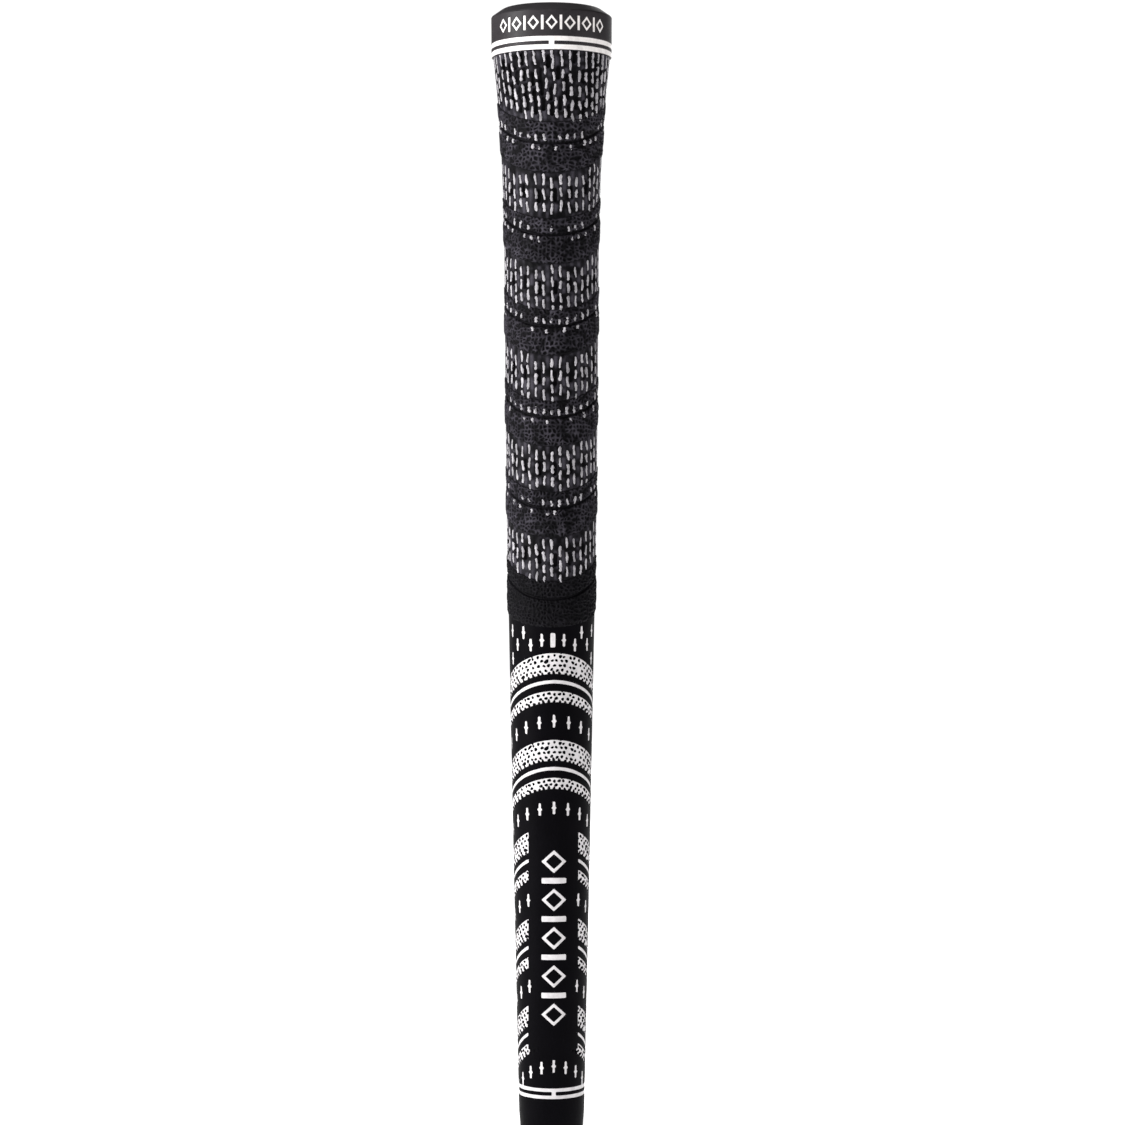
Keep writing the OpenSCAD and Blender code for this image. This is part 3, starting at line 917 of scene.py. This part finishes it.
def pebbled_ring(name, low, high, feather_low=True):
    """A pebbled band between two curves (functions of the angle). A feathered edge dives under the skin."""
    cols = 4 * int(2 * math.pi * BAND_R / PEBBLE_GRID / 4)
    angles = np.arange(cols) * 360 / cols
    margin = 0.35
    bottom = low(angles) - (margin if feather_low else 0)
    top = high(angles) + margin
    rows = int((top - bottom).max() / PEBBLE_GRID)
    share, a = np.meshgrid(np.linspace(0, 1, rows + 1), angles, indexing="ij")
    z = bottom + share * (top - bottom)
    inside = high(a) - z
    if feather_low:
        inside = np.minimum(inside, z - low(a))
    r = upper_r(z)
    deep = pits(a, z, 0.98, 61)
    broken = smoothstep(-0.7, 0.3, noise(a, z, 0.95, 63))
    front = smile_front(a, z)
    clear = 1 + 0.9 * smile_depth(front) / SMILE_DEPTH
    ridge = (1 - deep) * clear
    height = band_lift(front) + smile_depth(front) - 0.12 + ridge * (0.14 + 0.16 * broken)
    height = height + 0.07 * crescents(a, z) + 0.025 * noise(a, z, 1.6, 62)
    relief = -0.3 + (height + 0.3) * smoothstep(-0.35, 0.25, inside)
    if not feather_low:
        relief = relief - 0.14 * (1 - smoothstep(0, 0.45, z - low(a)))
    verts, faces = shell(a, z, r + relief, r - BAND_SKIN, 6, True)
    # painted highlight on the grain's ridges, in broken patches, dimmed in the curved grooves and at the
    # band's edges, and weaker on the joint band
    highlight_and_grime = ridge * broken * (0.65 + 0.35 * noise(a, z, 2.6, 64)) * smoothstep(0, 0.3, inside)
    highlight_and_grime = highlight_and_grime * (0.75 + 0.35 * noise(a, z, 0.55, 65))
    highlight_and_grime = highlight_and_grime * (0.14 + 0.86 * smoothstep(LAST_CORD_Z - 0.5, LAST_CORD_Z + 1.5, front))
    place_piece(add_mesh(name, verts, faces, UPPER_RUBBER, 80, highlight_and_grime), "upper_rubber")


def smile_curve(front):
    return lambda angle: front + SMILE_RISE * swing(angle)


def yarn_places(zone):
    """(angle, z, length, width, slant, lift) of each yarn in a cord zone and in the sparse rows under it."""
    rng = np.random.default_rng(70 + zone)
    top, bottom, columns, slant = cord_zones()[zone]
    found = []
    for c in range(columns):
        angle = wrap(c * 360 / columns + rng.uniform(-0.9, 0.9))
        rise = SMILE_RISE * swing(angle)
        end = bottom + rise
        if zone == 0:
            z = top + rng.uniform(0, 0.6) * YARN_PERIOD
        else:
            z = top + rise - rng.uniform(0, 0.6) * YARN_PERIOD
        while z > end + 0.9:
            length = min(rng.uniform(2.1, 2.95), z - end + 0.5)
            middle = z - length / 2
            over = middle + length / 2 - (SKIRT_Z - 0.03)
            if over > 0:
                length -= over
                middle -= over / 2
            if length > 0.7:
                width = YARN_WIDTH * rng.uniform(0.8, 1.15)
                shifted = angle + drift(slant, top - middle)
                found.append((shifted, middle, length, width, slant + rng.uniform(-4, 6), 0.0))
            z -= length + rng.uniform(0.35, 0.75)
    if zone < SMILE_COUNT - 1:
        groove_z = smile_heights()[zone]
        for up, chance in ((1.25, 0.78), (-1.15, 0.55)):
            for c in range(columns):
                if rng.random() > chance:
                    continue
                angle = wrap((c + 0.5 * (up < 0)) * 360 / columns + rng.uniform(-1.2, 1.2))
                rise = SMILE_RISE * swing(angle)
                z = groove_z + up + rise + rng.uniform(-0.15, 0.15)
                length = rng.uniform(1.1, 1.9) * (0.8 if up < 0 else 1.0)
                width = YARN_WIDTH * rng.uniform(0.75, 1.1)
                found.append((angle, z, length, width, 4 + rng.uniform(-8, 8), 0.1))
    return found


def yarns(places, rng):
    """Short lengths of twisted yarn, ground flush, as closed low mounds, and how grimy each vertex is."""
    along, across = 17, 9
    t = np.linspace(-1, 1, along)[None, :, None]
    s = np.linspace(-1, 1, across)[None, None, :]
    angle, z, length, width, slant, lift = [np.array(c)[:, None, None] for c in zip(*places)]
    count = len(places)
    each = (count, 1, 1)
    body = (1 - np.abs(t) ** 5) ** 0.5
    ragged = 1 + 0.2 * np.sin(t * rng.uniform(2.5, 6.5, each) + rng.uniform(0, 6.3, each))
    ragged += 0.1 * np.sin(t * rng.uniform(9, 14, each) + rng.uniform(0, 6.3, each))
    half = np.maximum(width / 2 * body * ragged, 0.05)
    bend = 0.09 * np.sin(t * 2.4 + rng.uniform(0, 6.3, each))
    u = s * half + bend
    v = t * length / 2
    lean = np.radians(slant)
    du = u * np.cos(lean) + v * np.sin(-lean)
    dv = u * np.sin(lean) + v * np.cos(lean)
    twist = 0.5 + 0.5 * np.cos(2 * math.pi * (v / 0.62 + s * 0.42) + rng.uniform(0, 6.3, each))
    h = z + dv
    r = upper_r(h)
    mound = -0.16 + 0.22 * (1 - s ** 2) ** 0.5 * np.maximum(body, 0.25) - 0.07 * twist * (1 - s ** 2)
    a = angle + np.degrees(du / r)
    top, under = (points(a, h, r + lift + up).reshape(count, -1, 3) for up in (mound, -0.32))
    grid = np.arange(along * across).reshape(along, across)
    # the grid's rows go up and its columns go round, as in shell()
    faces = quads(grid[:-1, :-1], grid[:-1, 1:], grid[1:, 1:], grid[1:, :-1])
    rim = np.concatenate([grid[0, :-1], grid[:-1, -1], grid[-1, :0:-1], grid[:0:-1, 0]])
    order = np.full(along * across, -1)
    order[rim] = along * across + np.arange(len(rim))
    following = np.roll(rim, -1)
    faces += quads(following, rim, order[rim], order[following])
    faces.append(order[rim][::-1].tolist())
    verts = np.concatenate([top, under[:, rim]], 1)
    per = verts.shape[1]
    every = [[i + n * per for i in face] for n in range(count) for face in faces]
    return verts.reshape(-1, 3), every, np.repeat(rng.random(count) ** 1.5, per)


def upper_hand():
    upper_panel("upper_panel_front_skin", 0, "upper_panel_front")
    upper_panel("upper_panel_back_skin", 180, "upper_panel_back")
    for name, top, bottom in pebbled_bands():
        pebbled_ring(name, smile_curve(bottom), smile_curve(top))
    pebbled_ring("joint_band", joint_z, smile_curve(LAST_CORD_Z), feather_low=False)
    for zone in range(len(cord_zones())):
        verts, faces, grime = yarns(yarn_places(zone), np.random.default_rng(80 + zone))
        place_piece(add_mesh(f"cord_yarns_{zone + 1}", verts, faces, COTTON, 70, grime), "cotton_cord")


# -------------------- cap and sleeve

def fillet(before, corner, after, radius, steps=4):
    """Points of a small curve that rounds a corner of an outline."""
    before, corner, after = (np.array(p, float) for p in (before, corner, after))
    start = corner + (before - corner) / np.linalg.norm(before - corner) * radius
    end = corner + (after - corner) / np.linalg.norm(after - corner) * radius
    t = np.linspace(0, 1, steps + 1)[:, None]
    return ((1 - t) ** 2 * start + 2 * t * (1 - t) * corner + t ** 2 * end).tolist()


def straight(start, end, spacing):
    """Points between two ends, without the ends."""
    n = max(1, int(math.dist(start, end) / spacing))
    t = np.linspace(0, 1, n + 1)[1:-1, None]
    return ((1 - t) * np.array(start) + t * np.array(end)).tolist()


def cap_relief(angle, z, r):
    """Painted grooves in the cap's side. The rest of the cap isn't moved."""
    side = (r > cap_r(SKIRT_Z) - 0.4) & (z < CHAMFER_Z + 0.01)
    rings = [box_mm(n) for n in ("cap_lower_ring_fill", "cap_upper_ring_fill")]
    edges = [np.maximum(low[2] - z, z - high[2]) + 0.05 for low, high in rings]
    across = np.radians(wrap(angle)) * r
    low, high = rings[0][1][2], rings[1][0][2]
    edges.append(box_distance(across, z - (low + high) / 2, CAP_TICK, high - low + 0.4))
    for kind, a in badge_marks():
        across = np.radians(wrap(angle - a)) * r
        if kind == "bar":
            edges.append(box_distance(across, z - BADGE_Z, BADGE_STROKE, BADGE_LOZENGE[1]))
        else:
            edges.append(lozenge_ring_distance(across, z - BADGE_Z, *BADGE_LOZENGE, BADGE_STROKE))
    skin = 0.01 * noise(angle, z, 1.4, 91)
    return np.where(side, groove(np.minimum.reduce(edges)) + skin, 0.0)


def cap():
    foot_r, brow_r = float(cap_r(SKIRT_Z)), float(cap_r(CHAMFER_Z))
    crown_r = brow_r - CHAMFER_IN
    crown_z = CHAMFER_Z + CHAMFER_RISE
    rise = TOP_Z - crown_z
    foot, brow, shoulder = (foot_r, SKIRT_Z), (brow_r, CHAMFER_Z), (crown_r, crown_z)
    radii = np.linspace(crown_r - 0.5, VENT_R + 0.3, 22)
    crown = [(r, crown_z + rise * (1 - (r / crown_r) ** 2)) for r in radii]
    vent_top, vent_end = (VENT_R, crown_z + rise), (VENT_R, BORE_END_Z)
    ceiling, bore_foot = (BUTT_BORE_R + 0.08, BORE_END_Z), (BUTT_BORE_R, SKIRT_Z)
    key_z = SKIRT_Z - KEY_DEPTH
    key = [(KEY_IN, SKIRT_Z), (KEY_IN, key_z), (KEY_OUT, key_z), (KEY_OUT, SKIRT_Z)]
    profile = fillet((foot_r - 1, SKIRT_Z), foot, brow, 0.12, 3)
    profile += straight(foot, brow, 0.17)
    profile += fillet(foot, brow, shoulder, 0.3)
    profile += straight(brow, shoulder, 0.4)[1:-1]
    profile += fillet(brow, shoulder, crown[0], 0.45)
    profile += crown
    profile += fillet(crown[-1], vent_top, vent_end, 0.25)
    profile += straight(vent_top, vent_end, 0.8)[1:] + [vent_end]
    profile += straight(vent_end, ceiling, 1.2) + [ceiling]
    profile += straight(ceiling, bore_foot, 1.2) + [bore_foot] + key
    verts, faces = lathe(profile, 512, cap_relief)
    place_piece(add_mesh("butt_cap_shell", verts, faces, CAP_RUBBER, 40), "cap_rubber", "butt_cap")
    ring_plate("cap_upper_ring", cap_r, CAP_PAINT, "cap_paint")
    ring_plate("cap_lower_ring", cap_r, CAP_PAINT, "cap_paint")
    low, high = box_mm("cap_tick_fill")
    margin = 2 * PLATE_MARGIN
    badge_width = 2 * cap_r(BADGE_Z) * math.radians((BADGE_LOZENGES - 0.3) * BADGE_STEP)
    for name, place, sink in (
        ("cap_tick", (0, (low[2] + high[2]) / 2, CAP_TICK + margin, high[2] - low[2] + margin), TICK_SINK),
        ("cap_badge", (0, BADGE_Z, badge_width, BADGE_LOZENGE[1] + margin), PAINT_SINK),
    ):
        paint_piece(name, *plates([place], cap_r, sink), CAP_PAINT, "cap_paint")


def sleeve():
    """The sleeve with the bore, of which the end and the inside of the mouth are seen."""
    top = SKIRT_Z - 0.02
    taper = (BUTT_BORE_R - MOUTH_R) / (SKIRT_Z - MOUTH_LENGTH)
    outer = [(float(lower_r(z)) - LOWER_SKIN, z) for z in np.linspace(0.3, 120, 40)]
    outer += [(float(upper_r(z)) - SLEEVE_DEPTH, z) for z in np.linspace(126, top, 40)]
    key_z = top - KEY_DEPTH
    keyway = [(KEY_OUT, top), (KEY_OUT, key_z), (KEY_IN, key_z), (KEY_IN, top)]
    inner = [(MOUTH_R + taper * (z - MOUTH_LENGTH), z) for z in np.linspace(top, MOUTH_LENGTH, 60)]
    inner += [(MOUTH_R, z) for z in np.linspace(MOUTH_LENGTH - 1, 0.6, 12)]
    lip = fillet((MOUTH_R, 1), (MOUTH_R, 0.02), (outer[0][0], 0.02), 0.15) + [(outer[0][0], 0.02)]
    verts, faces = lathe(outer + keyway + inner + lip, 160)
    place_piece(add_mesh("sleeve_tube", verts, faces, INNER_RUBBER, 40), "inner_rubber", "inner_sleeve")


# -------------------- light, floor and camera

def area_light(name, place, target, size, power, colour=(1, 1, 1)):
    data = bpy.data.lights.new(name, "AREA")
    data.shape = "RECTANGLE"
    data.size, data.size_y = size
    data.energy = power
    data.color = colour
    light = bpy.data.objects.new(name, data)
    light.location = place
    light.rotation_euler = (Vector(target) - Vector(place)).to_track_quat("-Z", "Y").to_euler()
    bpy.context.scene.collection.objects.link(light)


def studio():
    scene = bpy.context.scene
    scene.view_settings.view_transform = "Standard"
    world = bpy.data.worlds.new("studio")
    world.use_nodes = True
    tree = world.node_tree
    dim, seen = tree.nodes["Background"], tree.nodes.new("ShaderNodeBackground")
    for sky, strength in ((dim, 0.13), (seen, 1.05)):
        set_inputs(sky, {"Color": (1, 1, 1, 1), "Strength": strength})
    path = tree.nodes.new("ShaderNodeLightPath")
    lit, shown = dim.outputs["Background"], seen.outputs["Background"]
    values = {"Fac": path.outputs["Is Camera Ray"], 1: lit, 2: shown}
    mix = add_node(tree, "ShaderNodeMixShader", values)
    set_inputs(tree.nodes["World Output"], {"Surface": mix.outputs["Shader"]})
    scene.world = world
    middle = (0, 0, 0.14)
    area_light("key", (-0.86, -0.32, 0.4), middle, (0.2, 0.5), 10.5)
    area_light("front", (-0.3, -0.9, 0.4), middle, (0.5, 0.4), 0.8)
    area_light("fill", (0.8, -0.2, 0.25), middle, (0.15, 0.7), 0.75, (1, 0.96, 1))
    area_light("back", (0.2, 0.9, 0.5), middle, (0.6, 0.6), 2)
    area_light("top", (0, -0.1, 0.9), middle, (0.5, 0.5), 1)


def floor():
    made, tree, shader, place = material("floor")
    shade = tones(tree, add_noise(tree, place, 3, 2), ((0.3, (0.93,) * 3), (0.7, (0.96,) * 3)))
    set_inputs(shader, {"Base Color": shade, "Roughness": 0.9, "Specular IOR Level": 0.1})
    set_inputs(shader, {"Emission Color": (1, 1, 1, 1), "Emission Strength": 0.97})
    reach = 40.0
    corners = [(x * reach, y * reach, 0) for x, y in ((-1, -1), (1, -1), (1, 1), (-1, 1))]
    mesh = bpy.data.meshes.new("floor")
    mesh.from_pydata(corners, [], [(0, 1, 2, 3)])
    mesh.materials.append(made)
    plane = bpy.data.objects.new("floor", mesh)
    bpy.context.scene.collection.objects.link(plane)


def camera():
    """0.69 m in front, a little above the grip's middle, and turned slightly down and to the right."""
    data = bpy.data.cameras.new("camera")
    data.lens = 92.8
    data.sensor_width = 36
    obj = bpy.data.objects.new("camera", data)
    eye, aim = Vector((0, -0.692, 0.1499)), Vector((0.0026, 0, 0.135))
    obj.location = eye
    obj.rotation_euler = (aim - eye).to_track_quat("-Z", "Y").to_euler()
    bpy.context.scene.collection.objects.link(obj)
    bpy.context.scene.camera = obj


def paint_frame():
    """Materials for the CAD nodes that stay."""
    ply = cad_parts["cord_ply"].data
    ply.materials.clear()
    ply.materials.append(COTTON)


camera()
studio()
floor()
lower_hand()
upper_hand()
cap()
sleeve()
paint_frame()
